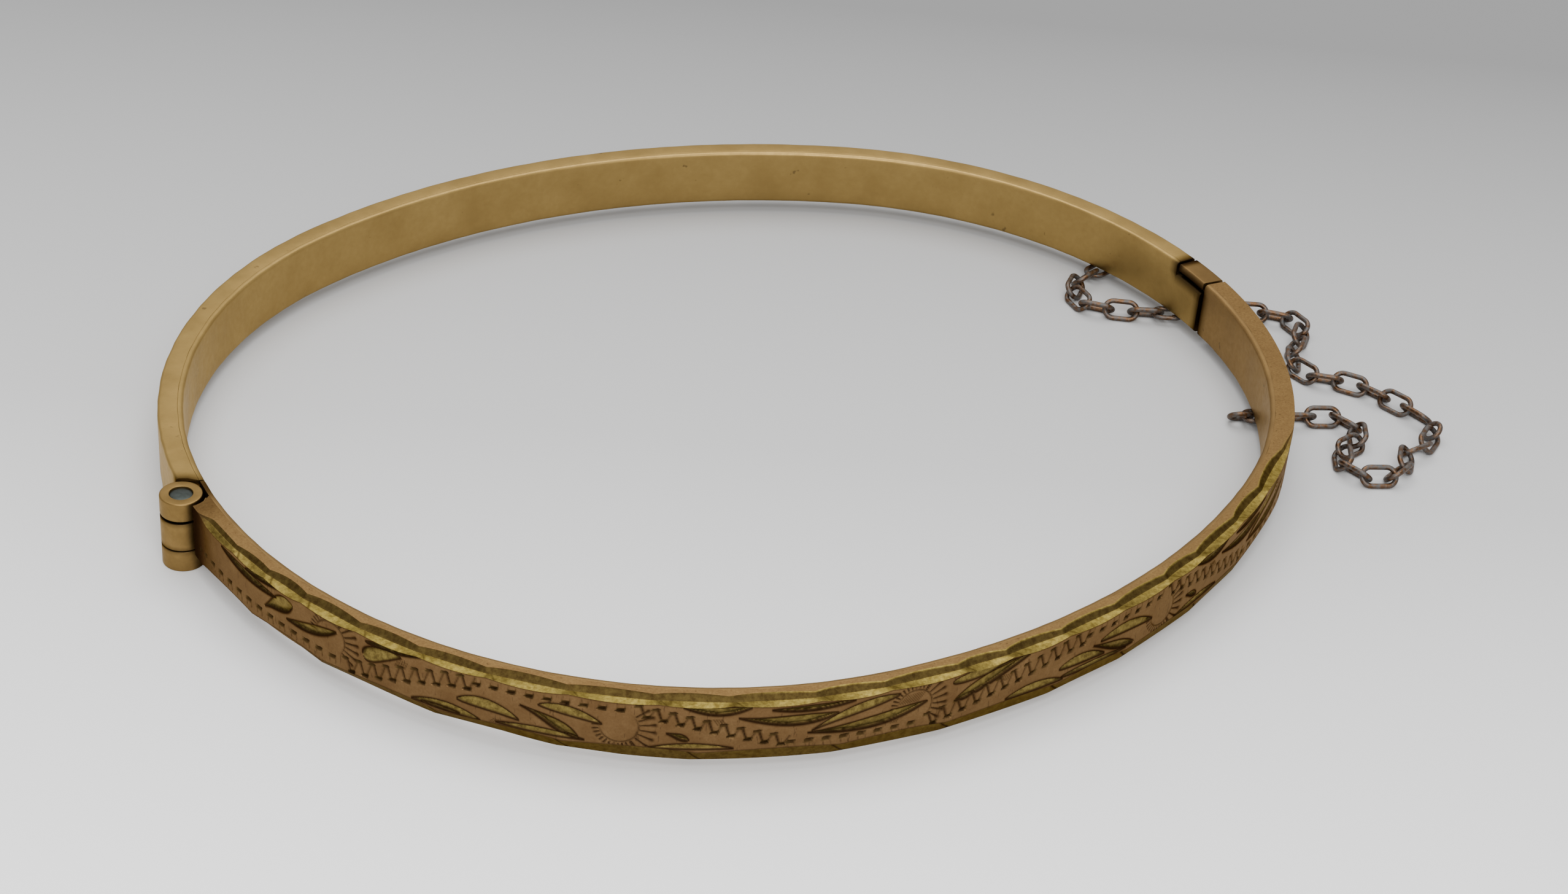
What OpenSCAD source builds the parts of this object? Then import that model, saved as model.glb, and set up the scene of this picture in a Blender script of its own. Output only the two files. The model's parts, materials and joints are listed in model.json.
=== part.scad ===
// Hinged oval bangle: two hollow half-hoops, a barrel hinge, a tongue-and-box
// clasp with a thumb piece, and a fine safety chain that lies on the table.
// +X points to the clasp, the hinge is at -X, the engraved half is at -Y.

/* [Band] */
// Half of the outer long axis of the oval
half_length = 31.7; // [30:0.1:34]
// Radius of the flatter middle arc of each half
side_radius = 41; // [39:0.5:44]
// Radius of the end arcs, except the engraved half's arc at the hinge
end_radius = 24.8; // [24:0.1:26]
// Radius of the engraved half's arc at the hinge
wide_end_radius = 28.2; // [27:0.1:29]
// Radial thickness of the band
band_t = 1.37; // [1.2:0.01:1.6]
// Height of the band
band_h = 3.46; // [3.2:0.01:3.8]
// Gap between the resting surface and the band
lift = 0.72; // [0.7:0.01:0.8]
// Thickness of the metal sheet
sheet_t = 0.3; // [0.25:0.01:0.35]

/* [Hinge] */
// Radius of the hinge barrel
barrel_r = 1.1; // [1.05:0.01:1.15]
// Height of the hinge barrel
barrel_h = 4.1; // [4:0.05:4.2]
// Radius of the hinge pin
pin_r = 0.6; // [0.5:0.01:0.65]
// Running clearance around the pin in the middle knuckle
pin_clear = 0.05; // [0.02:0.01:0.1]
// Top of the bottom knuckle
knuckle_1_z = 1.2; // [1.1:0.05:1.3]
// Underside of the top knuckle
knuckle_3_z = 3.02; // [2.9:0.01:3.1]
// Gap between the middle knuckle and the one above it
knuckle_gap = 0.12; // [0.05:0.01:0.2]
// Hinge axis, outward from the outer end of the oval
hinge_out = 0.05; // [0:0.01:0.1]
// Hinge axis, towards the engraved half
hinge_back = 1.65; // [1.5:0.05:1.8]

/* [Clasp] */
// Gap between the two halves at the clasp
joint_gap = 0.4; // [0.3:0.01:0.5]
// Length of the thumb piece along the band
thumb_l = 2.4; // [2:0.05:2.6]
// Height of the thumb piece
thumb_h = 0.46; // [0.4:0.01:0.5]
// Room under the thumb piece for its travel
thumb_room = 0.32; // [0.25:0.01:0.4]
// Gap between the thumb piece's tip and the end of its notch
thumb_gap = 0.25; // [0.1:0.01:0.4]
// How far the tongue reaches into its box
tongue_l = 5; // [4:0.1:5.5]
// Width of the tongue leaves
tongue_w = 0.36; // [0.3:0.01:0.4]
// Thickness of the tongue leaves
leaf_t = 0.25; // [0.2:0.01:0.3]

/* [Chain] */
// Radius of the chain wire
wire_r = 0.15; // [0.13:0.01:0.15]
// Radius of a link's rounded ends, to the middle of the wire
link_r = 0.54; // [0.52:0.01:0.54]
// Half the length of a link's straight sides
link_s = 0.45; // [0.45:0.01:0.47]
// Distance from pivot to pivot along a link
pitch = 1.5; // [1.5:0.01:1.52]
// Distance from pivot to pivot along the long link under the band
long_pitch = 2.2; // [2.2:0.01:2.22]

/* [Hidden] */
$fn = 64;
eps = 0.01;

band_top = lift + band_h;
hinge_x = -half_length - hinge_out;
hinge_y = -hinge_back;
// Where the two halves part on the inside, next to the barrel
hinge_split_y = hinge_y + 0.6;
hinge_split_gap = 0.1;
back_end_y = hinge_split_y + hinge_split_gap / 2;
front_lip_y = hinge_split_y - hinge_split_gap / 2;
front_shell_y = hinge_y - 0.5;
barrel_clear = 0.1;
// The engraved shell stands further back from the barrel, as a dark gap
shell_clear = 0.32;
hinge_plug_l = 3;
front_plug_l = 2.2;
box_plug_l = 1.5;
box_floor_y = tongue_l + 0.9;
notch_y = joint_gap / 2 + thumb_l + thumb_gap;
// Larger than the whole band, for cutting
beyond = 70;
thumb_z = band_top - thumb_h;
chain_z = (2 * link_r * sin(45) + 2 * wire_r) / 2;
// How far the middle of a link's end wire reaches past its pivot
link_tip = link_s + link_r - pitch / 2;
post_r = 0.8 * wire_r;

// The oval's own centre is moved so that the origin is under the middle of the
// object's box, without the chain.
front_depth = oval_depth(side_radius, wide_end_radius, end_radius);
back_depth = oval_depth(side_radius, end_radius, end_radius);
centre_x = (half_length + hinge_x - barrel_r) / 2;
centre_y = (back_depth - front_depth) / 2;

gold = "#b8975a";
engraved_gold = "#a87c5c";
dark_metal = "#6e5a4c";
steel = "#77786f";

// ---- Oval geometry: three tangent arcs per half --------------------------

// Centre of the middle arc, for arc radii r at the side, h at the hinge, c at the clasp
function mid_centre(r, h, c) =
    let (d = 2 * half_length - h - c,
         x = (pow(r - h, 2) - pow(r - c, 2) + d * d) / (2 * d))
    [-half_length + h + x, -sqrt(pow(r - h, 2) - x * x)];

// Greatest distance of a half's outline from the long axis
function oval_depth(r, h, c) = r + mid_centre(r, h, c)[1];

// Everything inside the outline of a half, drawn in to a depth under its outer
// surface: two end discs and a sector of the large middle disc
module half_solid(h, c, depth, z0, z1) {
    m = mid_centre(side_radius, h, c);
    hinge_c = [-half_length + h, 0];
    clasp_c = [half_length - c, 0];
    a_clasp = atan2(-m[1], clasp_c[0] - m[0]);
    a_hinge = atan2(-m[1], hinge_c[0] - m[0]);
    far = 1.5 * side_radius;
    translate([0, 0, z0]) {
        translate(concat(clasp_c, 0)) cylinder(r = c - depth, h = z1 - z0);
        translate(concat(hinge_c, 0)) cylinder(r = h - depth, h = z1 - z0);
        intersection() {
            translate(concat(m, 0)) cylinder(r = side_radius - depth, h = z1 - z0);
            linear_extrude(height = z1 - z0)
                polygon([m, for (a = [a_clasp, 90, a_hinge]) m + far * [cos(a), sin(a)]]);
        }
    }
}

// Wall of a half on the +Y side between two depths, from y_hinge at the hinge end
module half_wall(h, c, depth_out, depth_in, z0, z1, y_hinge = 0) {
    difference() {
        half_solid(h, c, depth_out, z0, z1);
        half_solid(h, c, depth_in, z0 - 1, z1 + 1);
        translate([0, -beyond, z0 - 1]) cube([beyond, beyond, z1 - z0 + 2]);
        translate([-beyond, -beyond + y_hinge, z0 - 1]) cube([beyond + 0.5, beyond, z1 - z0 + 2]);
    }
}

module back_wall(depth_out, depth_in, z0, z1) {
    half_wall(end_radius, end_radius, depth_out, depth_in, z0, z1, hinge_y - 1);
}

module front_wall(depth_out, depth_in, z0, z1) {
    mirror([0, 1, 0])
        half_wall(wide_end_radius, end_radius, depth_out, depth_in, z0, z1);
}

// Box that keeps only what lies in a range of Y, at the hinge or clasp end
module y_slab(side, y0, y1, z0 = -1, z1 = 6) {
    translate([side > 0 ? 20 : -40, y0, z0]) cube([20, y1 - y0, z1 - z0]);
}

module barrel_space(r, z0, z1) {
    translate([hinge_x, hinge_y, z0]) cylinder(r = r, h = z1 - z0);
}

// What the back half leaves free at the hinge
module back_hinge_cut() {
    barrel_space(barrel_r, -1, 6);
    barrel_space(barrel_r + barrel_clear, knuckle_1_z - eps, knuckle_3_z + eps);
    y_slab(-1, -8, back_end_y);
}

// What the front half leaves free at the hinge. Its lining reaches further round
// the barrel than its shell, as a lip.
module front_hinge_cut(y_end, clear) {
    barrel_space(barrel_r, -1, 6);
    barrel_space(barrel_r + clear, -1, knuckle_1_z + knuckle_gap / 2);
    barrel_space(barrel_r + clear, knuckle_3_z - knuckle_gap, 6);
    y_slab(-1, y_end, 1);
}

// What the back half leaves free at the clasp: the joint and the thumb piece's notch
module back_clasp_cut() {
    y_slab(1, -1, joint_gap / 2);
    y_slab(1, -1, notch_y, thumb_z - thumb_room, 6);
}

module front_clasp_cut() {
    y_slab(1, -joint_gap / 2, 1);
}

module place() {
    translate([-centre_x, -centre_y, 0]) children();
}

// ---- Back half -------------------------------------------------------------

module back_outer_shell() {
    color(gold) place() difference() {
        back_wall(0, band_t - sheet_t, lift, band_top);
        back_wall(sheet_t, band_t, lift + sheet_t, band_top - sheet_t);
        back_hinge_cut();
        back_clasp_cut();
    }
}

module back_inner_lining() {
    color(gold) place() difference() {
        back_wall(band_t - sheet_t, band_t, lift, band_top);
        back_hinge_cut();
        back_clasp_cut();
    }
}

// Solid filling that the back half's knuckles are soldered to
module back_hinge_plug() {
    color(gold) place() difference() {
        intersection() {
            back_wall(sheet_t, band_t - sheet_t, lift + sheet_t, band_top - sheet_t);
            y_slab(-1, -5, hinge_split_y + hinge_plug_l);
        }
        back_hinge_cut();
    }
}

// Block that closes the inner end of the clasp box
module clasp_box_plug() {
    color(gold) place() intersection() {
        back_wall(sheet_t, band_t - sheet_t, lift + sheet_t, band_top - sheet_t);
        y_slab(1, box_floor_y, box_floor_y + box_plug_l);
    }
}

// ---- Engraved front half ---------------------------------------------------

module front_outer_shell() {
    color(engraved_gold) place() difference() {
        front_wall(0, band_t - sheet_t, lift, band_top);
        front_wall(sheet_t, band_t, lift + sheet_t, band_top - sheet_t);
        barrel_space(barrel_r + shell_clear, -1, 6);
        front_hinge_cut(front_shell_y, shell_clear);
        front_clasp_cut();
    }
}

module front_inner_lining() {
    color(gold) place() difference() {
        front_wall(band_t - sheet_t, band_t, lift, band_top);
        front_hinge_cut(front_lip_y, barrel_clear);
        front_clasp_cut();
    }
}

module front_hinge_plug() {
    color(gold) place() difference() {
        intersection() {
            front_wall(sheet_t, band_t - sheet_t, lift + sheet_t, band_top - sheet_t);
            y_slab(-1, hinge_y - hinge_plug_l, 1);
        }
        front_hinge_cut(front_shell_y, barrel_clear);
    }
}

// End block that the tongue is soldered to
module front_clasp_plug() {
    color(gold) place() difference() {
        intersection() {
            front_wall(sheet_t, band_t - sheet_t, lift + sheet_t, band_top - sheet_t);
            y_slab(1, -front_plug_l, 0);
        }
        front_clasp_cut();
    }
}

// ---- Hinge -----------------------------------------------------------------

module knuckle(z0, z1, bore_r) {
    place() translate([hinge_x, hinge_y, z0]) difference() {
        cylinder(r = barrel_r, h = z1 - z0);
        translate([0, 0, -1]) cylinder(r = bore_r, h = z1 - z0 + 2);
    }
}

module hinge_knuckle_bottom() { color(gold) knuckle(0, knuckle_1_z, pin_r); }

module hinge_knuckle_middle() {
    color(gold) knuckle(knuckle_1_z + knuckle_gap / 2, knuckle_3_z - knuckle_gap, pin_r + pin_clear);
}

module hinge_knuckle_top() { color(gold) knuckle(knuckle_3_z, barrel_h, pin_r); }

module hinge_pin() {
    color(steel) place() translate([hinge_x, hinge_y, 0.04]) cylinder(r = pin_r, h = barrel_h - 0.08);
}

// ---- Tongue clasp ----------------------------------------------------------

// The tongue follows a circle around the hinge pin, so it slides in and out of
// its box. Its side view is given as points [y, z].
tongue_r = half_length - band_t / 2 - hinge_x - 0.09;
base_z = lift + sheet_t + 0.1;
leaf_gap = 0.03;
nose_y = tongue_l;
nose_setback = 0.02;
// The stem that joins the spring leaf to the thumb piece
stem_y0 = 0.35;
stem_y1 = 1.35;
stem_l = 0.87;
rise_z = thumb_z - stem_l;
thumb_start_y = 0.02;

module tongue_strip(side_view) {
    intersection() {
        translate([hinge_x, hinge_y, 0])
            rotate([0, 0, -3])
                rotate_extrude(angle = 13, $fn = 180)
                    translate([tongue_r - tongue_w / 2, 0])
                        square([tongue_w, 6]);
        translate([20, 0, 0])
            rotate([90, 0, 90])
                linear_extrude(height = 20)
                    polygon(side_view);
    }
}

// Lower leaf, fixed to the front half's end block
module tongue_base_leaf() {
    color(gold) place() tongue_strip([
        [-joint_gap / 2, base_z], [nose_y, base_z],
        [nose_y, base_z + leaf_t], [-joint_gap / 2, base_z + leaf_t]]);
}

// Upper leaf, which springs up from the nose and carries the thumb piece's stem
module tongue_spring_leaf() {
    low = base_z + leaf_t + leaf_gap;
    tip_y = nose_y - nose_setback;
    color(gold) place() tongue_strip([
        [tip_y, low], [tip_y, low + leaf_t],
        [stem_y1, rise_z + leaf_t], [stem_y1, thumb_z], [stem_y0, thumb_z], [stem_y0, rise_z]]);
}

module thumb_piece() {
    color(gold) place() intersection() {
        back_wall(0, band_t, thumb_z, band_top);
        y_slab(1, thumb_start_y, thumb_l + joint_gap / 2);
    }
}

// ---- Safety chain ----------------------------------------------------------

// Direction in degrees of each link, from the back half's eyelet to the front's
headings = [155, 150, 140, 90, 45, 25, 20, 15, -35, -85, -70, -80, -80, -75, -25, -40, -85,
            -135, -135, -125, -75, -35, -50, -65, -70, -75, -110, -145, -170, -130, -155,
            -200, -250, -300, -345, -300, -250, -200, -200];
long_link = 6;
// Link whose near end is cut back, so that the chain is open there and the two
// halves can be swung apart
open_link = 26;
open_cut = 0.88;
chain_start = [29.65, 3.1];
front_eyelet = [29.45, -9.1];
front_eyelet_heading = 160;

function step(i) = (i == long_link ? long_pitch : pitch) * [cos(headings[i]), sin(headings[i])];

// Pivot before link i
function pivot(i) = i == 0 ? chain_start : pivot(i - 1) + step(i - 1);

// One oval link lying along X, turned about its own length by roll
module oval_link(s, roll) {
    rotate([roll, 0, 0]) {
        for (side = [0, 180])
            rotate([0, 0, side]) {
                translate([s, 0, 0])
                    rotate([0, 0, -90])
                        rotate_extrude(angle = 180)
                            translate([link_r, 0]) circle(r = wire_r, $fn = 24);
                translate([-s, link_r, 0])
                    rotate([0, 90, 0])
                        cylinder(r = wire_r, h = 2 * s, $fn = 24);
            }
    }
}

// Link n of the chain, counted from 1. Neighbours are turned a quarter against
// each other, and the long link lies flat to pass under the band.
module chain_link(n) {
    i = n - 1;
    cut = i == open_link ? open_cut / 2 : 0;
    extra = i == long_link ? (long_pitch - pitch) / 2 : -cut;
    centre = pivot(i) + step(i) / 2 + cut * [cos(headings[i]), sin(headings[i])];
    roll = i == long_link ? 0 : (i % 2 == 0 ? 45 : -45);
    color(dark_metal) place()
        translate([centre[0], centre[1], chain_z])
            rotate([0, 0, headings[i]])
                oval_link(link_s + extra, roll);
}

// Flat ring soldered under the band by short posts
module eyelet(centre, heading, s, post_x) {
    translate([centre[0], centre[1], chain_z])
        rotate([0, 0, heading]) {
            oval_link(s, 0);
            for (side = [-1, 1])
                translate([post_x, side * link_r, 0]) cylinder(r = post_r, h = lift - chain_z);
        }
}

module back_chain_eyelet() {
    s = 0.3;
    reach = link_r + s - link_tip;
    a = headings[0];
    color(dark_metal) place()
        eyelet(chain_start - reach * [cos(a), sin(a)], a, s, -s);
}

module front_chain_eyelet() {
    color(dark_metal) place()
        eyelet(front_eyelet, front_eyelet_heading, link_s + (long_pitch - pitch) / 2, 0);
}

// Small spare ring on the inner end of the front eyelet
module chain_end_ring() {
    s = 0.1;
    reach = long_pitch / 2 + link_r + s - link_tip;
    a = front_eyelet_heading;
    color(dark_metal) place()
        translate([front_eyelet[0] + reach * cos(a), front_eyelet[1] + reach * sin(a), chain_z])
            rotate([0, 0, a]) oval_link(s, 45);
}

back_outer_shell();
back_inner_lining();
back_hinge_plug();
clasp_box_plug();
front_outer_shell();
front_inner_lining();
front_hinge_plug();
front_clasp_plug();
hinge_knuckle_bottom();
hinge_knuckle_middle();
hinge_knuckle_top();
hinge_pin();
tongue_base_leaf();
tongue_spring_leaf();
thumb_piece();
back_chain_eyelet();
front_chain_eyelet();
chain_end_ring();
chain_link(1);  // chain_link_01
chain_link(2);  // chain_link_02
chain_link(3);  // chain_link_03
chain_link(4);  // chain_link_04
chain_link(5);  // chain_link_05
chain_link(6);  // chain_link_06
chain_link(7);  // chain_link_07
chain_link(8);  // chain_link_08
chain_link(9);  // chain_link_09
chain_link(10);  // chain_link_10
chain_link(11);  // chain_link_11
chain_link(12);  // chain_link_12
chain_link(13);  // chain_link_13
chain_link(14);  // chain_link_14
chain_link(15);  // chain_link_15
chain_link(16);  // chain_link_16
chain_link(17);  // chain_link_17
chain_link(18);  // chain_link_18
chain_link(19);  // chain_link_19
chain_link(20);  // chain_link_20
chain_link(21);  // chain_link_21
chain_link(22);  // chain_link_22
chain_link(23);  // chain_link_23
chain_link(24);  // chain_link_24
chain_link(25);  // chain_link_25
chain_link(26);  // chain_link_26
chain_link(27);  // chain_link_27
chain_link(28);  // chain_link_28
chain_link(29);  // chain_link_29
chain_link(30);  // chain_link_30
chain_link(31);  // chain_link_31
chain_link(32);  // chain_link_32
chain_link(33);  // chain_link_33
chain_link(34);  // chain_link_34
chain_link(35);  // chain_link_35
chain_link(36);  // chain_link_36
chain_link(37);  // chain_link_37
chain_link(38);  // chain_link_38
chain_link(39);  // chain_link_39
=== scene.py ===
import json
import math

import bpy
import numpy as np
from mathutils import Matrix, Vector


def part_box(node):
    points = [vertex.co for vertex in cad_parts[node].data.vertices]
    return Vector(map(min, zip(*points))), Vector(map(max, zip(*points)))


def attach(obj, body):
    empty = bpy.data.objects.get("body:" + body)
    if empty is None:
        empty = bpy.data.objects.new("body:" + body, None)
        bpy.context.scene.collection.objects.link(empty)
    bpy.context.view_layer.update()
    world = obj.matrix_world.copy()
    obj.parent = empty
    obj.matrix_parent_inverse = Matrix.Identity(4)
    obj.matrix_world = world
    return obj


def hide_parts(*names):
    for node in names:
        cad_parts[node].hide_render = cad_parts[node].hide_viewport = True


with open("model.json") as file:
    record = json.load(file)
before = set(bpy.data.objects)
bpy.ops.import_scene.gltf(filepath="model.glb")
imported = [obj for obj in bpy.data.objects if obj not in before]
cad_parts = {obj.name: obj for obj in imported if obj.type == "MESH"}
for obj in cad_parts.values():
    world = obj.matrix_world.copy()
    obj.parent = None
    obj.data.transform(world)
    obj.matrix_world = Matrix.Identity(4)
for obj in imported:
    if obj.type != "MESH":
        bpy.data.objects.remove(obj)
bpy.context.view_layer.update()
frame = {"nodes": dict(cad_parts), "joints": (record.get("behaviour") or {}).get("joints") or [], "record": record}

# All sizes below are in millimetres, and are turned to metres where a mesh is made.
MM = 0.001

# ---- The band, as the CAD model has it ---------------------------------------

# Half the oval's length, and the radii of its arcs. The front half is wider at the hinge.
HALF_LENGTH = 31.7
SIDE_RADIUS = 41.0
END_RADIUS = 24.8
WIDE_END_RADIUS = 28.2
# Thickness of the hollow band, of its sheet, and of the shell without the lining
BAND_T = 1.37
SHEET_T = 0.3
SHELL_T = BAND_T - SHEET_T
# Space between the two halves at the clasp
JOINT_GAP = 0.4
# The hinge axis seen from the oval's own centre
HINGE_FROM_CENTRE = np.array([-31.75, -1.65])
BARREL_R = 1.1
PIN_R = 0.6

hinge_joint = next(j for j in frame["joints"] if j["name"] == "main_hinge")
HINGE = np.array(hinge_joint["pos_m"][:2]) / MM
CENTRE = HINGE - HINGE_FROM_CENTRE
# Height of the band's two rims
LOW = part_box("back_inner_lining")[0][2] / MM
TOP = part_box("back_inner_lining")[1][2] / MM
BAND_H = TOP - LOW

# The thumb piece lies in a notch in the back half's clasp end
THUMB_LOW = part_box("thumb_piece")[0][2] / MM
THUMB_LENGTH = 2.6
THUMB_GAP = 0.32
NOTCH_LOW = THUMB_LOW - THUMB_GAP
NOTCH_LENGTH = THUMB_LENGTH + 0.25

# Space that each half leaves round the barrel, and where it ends beside it
BARREL_CLEAR = 0.1
SHELL_CLEAR = 0.32
BACK_END_Y = -1.0
FRONT_SHELL_END_Y = -2.15
FRONT_LIP_END_Y = -1.1

# Rounding of the band's worn outer edges, and of a sheet's cut edges
EDGE_R = 0.16
CUT_EDGE_R = 0.02
# Longest side in a profile, so that shading and grime have points to change at
LONGEST_SIDE = 0.5


def smooth(x):
    """0 below 0, 1 above 1, with a soft step between."""
    x = np.clip(x, 0, 1)
    return x * x * (3 - 2 * x)


class Outline:
    """One half of the oval: three tangent arcs from the hinge end to the clasp end.
    A place on it is a length along the outer face from the hinge end, and a depth."""

    def __init__(self, side, hinge_radius):
        self.side = side
        hinge_x = -HALF_LENGTH + hinge_radius
        clasp_x = HALF_LENGTH - END_RADIUS
        d = clasp_x - hinge_x
        reach = SIDE_RADIUS - hinge_radius
        x = (reach ** 2 - (SIDE_RADIUS - END_RADIUS) ** 2 + d * d) / (2 * d)
        mid = np.array([hinge_x + x, -math.sqrt(reach ** 2 - x * x)])
        turn_hinge = math.atan2(-mid[1], hinge_x - mid[0])
        turn_clasp = math.atan2(-mid[1], clasp_x - mid[0])
        stops = [math.pi, turn_hinge, turn_clasp, 0.0]
        circles = [((hinge_x, 0.0), hinge_radius), (mid, SIDE_RADIUS), ((clasp_x, 0.0), END_RADIUS)]
        self.arcs = []
        start = 0.0
        for (centre, radius), a0, a1 in zip(circles, stops, stops[1:]):
            length = radius * (a0 - a1)
            self.arcs.append((centre, radius, a0, start, start + length))
            start += length
        self.length = start

    def place(self, along, depth):
        """x and y at these lengths and depths, in the part's frame."""
        along, depth = np.broadcast_arrays(along, depth)
        x = np.zeros(along.shape)
        y = np.zeros(along.shape)
        last = len(self.arcs) - 1
        for i, (centre, radius, a0, start, end) in enumerate(self.arcs):
            here = np.ones(along.shape, bool)
            if i > 0:
                here &= along > start
            if i < last:
                here &= along <= end
            angle = a0 - (along[here] - start) / radius
            x[here] = centre[0] + (radius - depth[here]) * np.cos(angle)
            y[here] = centre[1] + (radius - depth[here]) * np.sin(angle)
        return x + CENTRE[0], self.side * y + CENTRE[1]


back = Outline(1, END_RADIUS)
front = Outline(-1, WIDE_END_RADIUS)


# ---- Mesh helpers ------------------------------------------------------------


def new_object(name, points, faces, flat=False):
    """A mesh object from points in millimetres, smooth unless flat."""
    mesh = bpy.data.meshes.new(name)
    mesh.from_pydata((np.asarray(points) * MM).tolist(), [], faces)
    mesh.polygons.foreach_set("use_smooth", [not flat] * len(mesh.polygons))
    mesh.update()
    piece = bpy.data.objects.new(name, mesh)
    bpy.context.scene.collection.objects.link(piece)
    return piece


def grid_faces(rows, cols, flip):
    """Faces of a grid whose columns close into a ring, with a cap at both ends. flip turns
    them over, for a half that runs the other way round."""
    i = np.arange(rows - 1)[:, None] * cols
    j = np.arange(cols)[None, :]
    k = (j + 1) % cols
    quads = np.stack([i + j, i + k, i + cols + k, i + cols + j], -1).reshape(-1, 4)
    if flip:
        quads = quads[:, ::-1]
    faces = quads.tolist()
    first = list(range(cols))
    last = list(range((rows - 1) * cols, rows * cols))
    if flip:
        faces += [first, last[::-1]]
    else:
        faces += [first[::-1], last]
    return faces


def rounded(corners):
    """A closed outline from (depth, height, radius) corners. A radius of 0 stays sharp."""
    points = []
    n = len(corners)
    steps = 5
    for i, (x, z, radius) in enumerate(corners):
        here = np.array([x, z])
        before = np.array(corners[i - 1][:2]) - here
        after = np.array(corners[(i + 1) % n][:2]) - here
        if radius == 0:
            points.append(here)
            continue
        a = here + before / np.linalg.norm(before) * radius
        b = here + after / np.linalg.norm(after) * radius
        for t in np.linspace(0, 1, steps):
            points.append((1 - t) ** 2 * a + 2 * t * (1 - t) * here + t * t * b)
    return np.array(points)


def densified(points, longest):
    """The closed outline with its long sides cut into shorter ones."""
    out = []
    for a, b in zip(points, np.roll(points, -1, axis=0)):
        n = max(1, math.ceil(np.linalg.norm(b - a) / longest))
        out += [a + (b - a) * k / n for k in range(n)]
    return np.array(out)


def clear_of_barrel(x, y, radius):
    """Points that would be in the hinge barrel move inward, clear of it."""
    dy = np.abs(y - HINGE[1])
    edge = HINGE[0] + np.sqrt(np.maximum(radius ** 2 - dy ** 2, 0))
    return np.where(dy < radius, np.maximum(x, edge), x)


def write_layer(piece, name, values):
    """Writes a value from 0 to 1 on each point, for the materials to read."""
    layer = piece.data.attributes.new(name, "FLOAT", "POINT")
    layer.data.foreach_set("value", np.ravel(values).astype(np.float32))


def shade_and_grime_at(u, x, y, z):
    """Painted shade, with some dirt, beside the clasp's stepped gap and beside the hinge barrel. u is the
    length from the clasp joint, negative on the back half. The gap goes down at start,
    level at step, and down again at the joint."""
    step = THUMB_LOW - THUMB_GAP / 2
    start = -THUMB_LENGTH - 0.12
    upright = np.hypot(u - start, np.minimum(z - step, 0))
    level = np.hypot(z - step, np.maximum(start - u, 0) + np.maximum(u, 0))
    lower = np.hypot(u, np.maximum(z - step, 0))
    gap = np.minimum(np.minimum(upright, level), lower)
    barrel = np.hypot(x - HINGE[0], y - HINGE[1]) - BARREL_R
    return np.maximum(0.98 * np.exp(-(gap / 0.55) ** 3), 0.85 * np.exp(-(barrel / 0.5) ** 2))


def sweep(name, outline, profile, start, end, step=0.35, wave=0.0, barrel=False):
    """A closed (depth, height) profile carried along the band. start and end are a
    length, or one per profile point. wave lets hand work show as a slight unevenness, and
    barrel keeps the piece clear of the hinge."""
    depth, height = profile.T
    rows = max(2, math.ceil((np.mean(end) - np.mean(start)) / step)) + 1
    t = np.linspace(0, 1, rows)[:, None]
    along = start + (end - start) * t
    uneven = wave * (np.sin(along * 0.9) + np.sin(along * 2.3 + 1.7)) / 2
    inner = smooth((depth - 0.2) / 0.6)
    x, y = outline.place(along, depth + np.abs(uneven) * (1 - 2 * inner))
    if barrel:
        x = clear_of_barrel(x, y, BARREL_R + 0.04)
    z = np.broadcast_to(height, x.shape)
    points = np.stack([x, y, z], -1).reshape(-1, 3)
    piece = new_object(name, points, grid_faces(rows, len(profile), outline.side < 0))
    along = np.broadcast_to(along, x.shape)
    # Painted shade, with some dirt, beside the clasp gap and the hinge barrel
    shade_and_grime = shade_and_grime_at((along - outline.length) * outline.side, x, y, z)
    write_layer(piece, "shade_and_grime", shade_and_grime)
    return piece


def lathe(name, centre, profile, turns):
    """A closed (radius, height) profile turned about an upright axis."""
    a = np.linspace(0, 2 * math.pi, turns, endpoint=False)
    radius, height = np.array(profile).T
    x = centre[0] + np.outer(np.cos(a), radius)
    y = centre[1] + np.outer(np.sin(a), radius)
    z = np.broadcast_to(height, x.shape)
    cols = len(profile)
    faces = []
    for i in range(turns):
        n = (i + 1) % turns
        for j in range(cols):
            k = (j + 1) % cols
            faces.append((i * cols + j, n * cols + j, n * cols + k, i * cols + k))
    return new_object(name, np.stack([x, y, z], -1).reshape(-1, 3), faces)


def sharpen(piece, angle=35):
    """Keeps edges steeper than angle crisp."""
    piece.data.set_sharp_from_angle(angle=math.radians(angle))


# ---- Materials ---------------------------------------------------------------


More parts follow.
